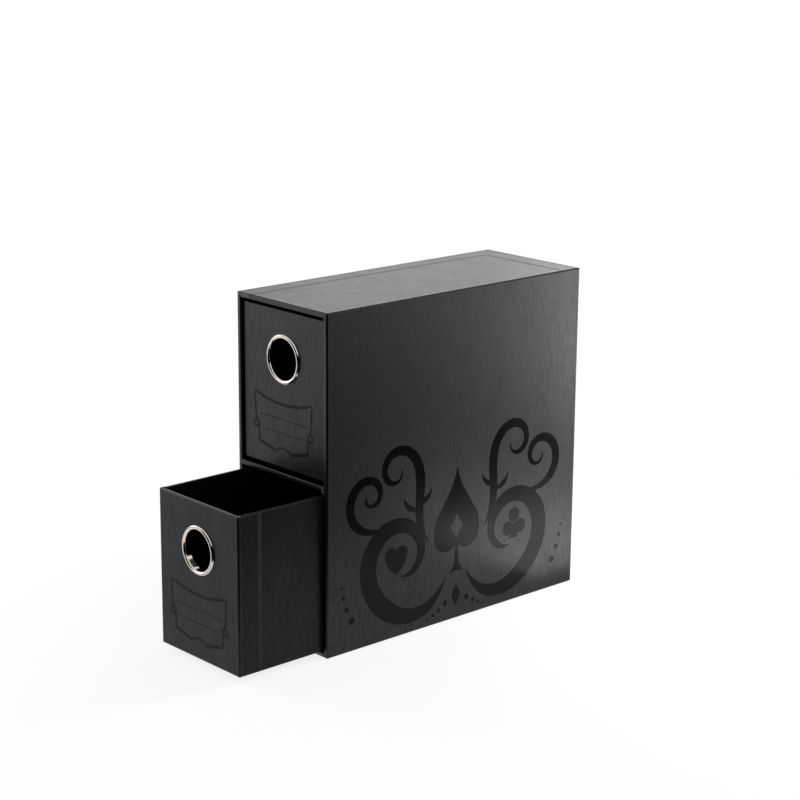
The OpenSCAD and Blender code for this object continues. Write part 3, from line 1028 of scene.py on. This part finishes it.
# %% [markdown]
# ## Folds and cuts at the case's rim
# Where the sheets turn round a corner the paper can't lie flat. At the case's upper right the two sheets
# meet in a curved fold, and the shelf's strip ends in an upright one. Two short dark cuts mark where the
# sheets were slit on the upper rim. A fold is a low plate drawn with the pen, or a small pad with rounded
# edges where it stands out more, because a bump in the material would vanish when it is seen from the side.
# The folds are a pale grey, a painted highlight for the light they catch.

# %% Folds and cuts of the case
FOLD_DEPTH = 0.12
CUT_DEPTH = 0.01
PAD_ROUNDING = 0.3
SHELF_FOLD_X = (37.7, 38.8)
SHELF_FOLD_Y = (-0.25, 0.6)
SHELF_FOLD_DROP = 0.8
UNTURNED = Matrix.Identity(4)
FOLD_HIGHLIGHT_TONE = 0.24
CUT_TONE = 0.0005

# The folds' pale grey is a painted highlight.
fold_painted_highlight = paper("fold_painted_highlight", FOLD_HIGHLIGHT_TONE, roughness=0.5)
open_cut = paper("open_cut", CUT_TONE, roughness=0.9, specular=0.0)


def pad(form, low, high):
    """Adds a lump with rounded edges between two corners."""
    middle = (Vector(low) + Vector(high)) / 2
    made = bmesh.ops.create_cube(form, size=1, matrix=Matrix.Translation(middle))["verts"]
    there = Matrix.Translation(-middle)
    bmesh.ops.scale(form, verts=made, vec=Vector(high) - Vector(low), space=there)
    edges = list({edge for vert in made for edge in vert.link_edges})
    bmesh.ops.bevel(
        form, geom=edges, offset=PAD_ROUNDING, segments=3, profile=0.5, affect="EDGES", material=-1
    )


rim_place = facing_front(case_box[0][1], 0)
plate = bmesh.new()
stroke(
    plate, (41.6, 214.3), -112, 2.0, 0.3,
    [(3.0, 3.0, 1.0), (2.6, 6.0, 0.8), (3.0, 2.0, 0.4), (3.0, 0, 0.2)],
)
raise_print("case_corner_fold", plate, rim_place, "case", fold_painted_highlight, FOLD_DEPTH)

low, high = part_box("case_shelf_wrap")
near_y, far_y = (case_box[0][1] / MM + reach for reach in SHELF_FOLD_Y)
foot, head = (height / MM - SHELF_FOLD_DROP for height in (low.z, high.z))
lump = bmesh.new()
pad(lump, (SHELF_FOLD_X[0], near_y, foot), (SHELF_FOLD_X[1], far_y, head))
finish_piece("case_shelf_fold", lump, UNTURNED, "case", fold_painted_highlight)

plate = bmesh.new()
stroke(plate, (-29.4, 214.4), -90, 0, 0.4, [(3.0, 0, 0.4)])
stroke(plate, (-39.6, 213.4), -112, 0, 0.3, [(2.0, 0, 0.5)])
raise_print("case_rim_cuts", plate, rim_place, "case", open_cut, CUT_DEPTH)

# %% [markdown]
# ## Tabs and cuts at the drawers' rims
# On a drawer's rim the front sheet goes round the corner and ends in a small tab, paler than the paper,
# and the side sheet starts behind a narrow cut. Both are pads again, one on each side, sunk in the rim so
# that only their rounded tops show.

# %% Tabs and cuts of the drawers
TAB_MARGIN = 0.2
TAB_Y = (0.5, 3.2)
TAB_Z = (-0.6, 0.2)
CUT_Y = (3.3, 4.4)
CUT_Z = (-0.7, 0.08)
TAB_TONE = 0.06

rim_tab = paper("rim_tab", TAB_TONE, roughness=0.35)
for body in DRAWERS:
    low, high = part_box(body + "_front_wrap")
    outer = high.x / MM - TAB_MARGIN
    inner = (high.x - DRAWER_WALL) / MM + TAB_MARGIN
    front, top = low.y / MM, high.z / MM
    tabs = bmesh.new()
    cuts = bmesh.new()
    for left, right in ((-outer, -inner), (inner, outer)):
        pad(tabs, (left, front + TAB_Y[0], top + TAB_Z[0]), (right, front + TAB_Y[1], top + TAB_Z[1]))
        pad(cuts, (left, front + CUT_Y[0], top + CUT_Z[0]), (right, front + CUT_Y[1], top + CUT_Z[1]))
    finish_piece(body + "_rim_tabs", tabs, UNTURNED, body, rim_tab)
    finish_piece(body + "_rim_cuts", cuts, UNTURNED, body, open_cut)
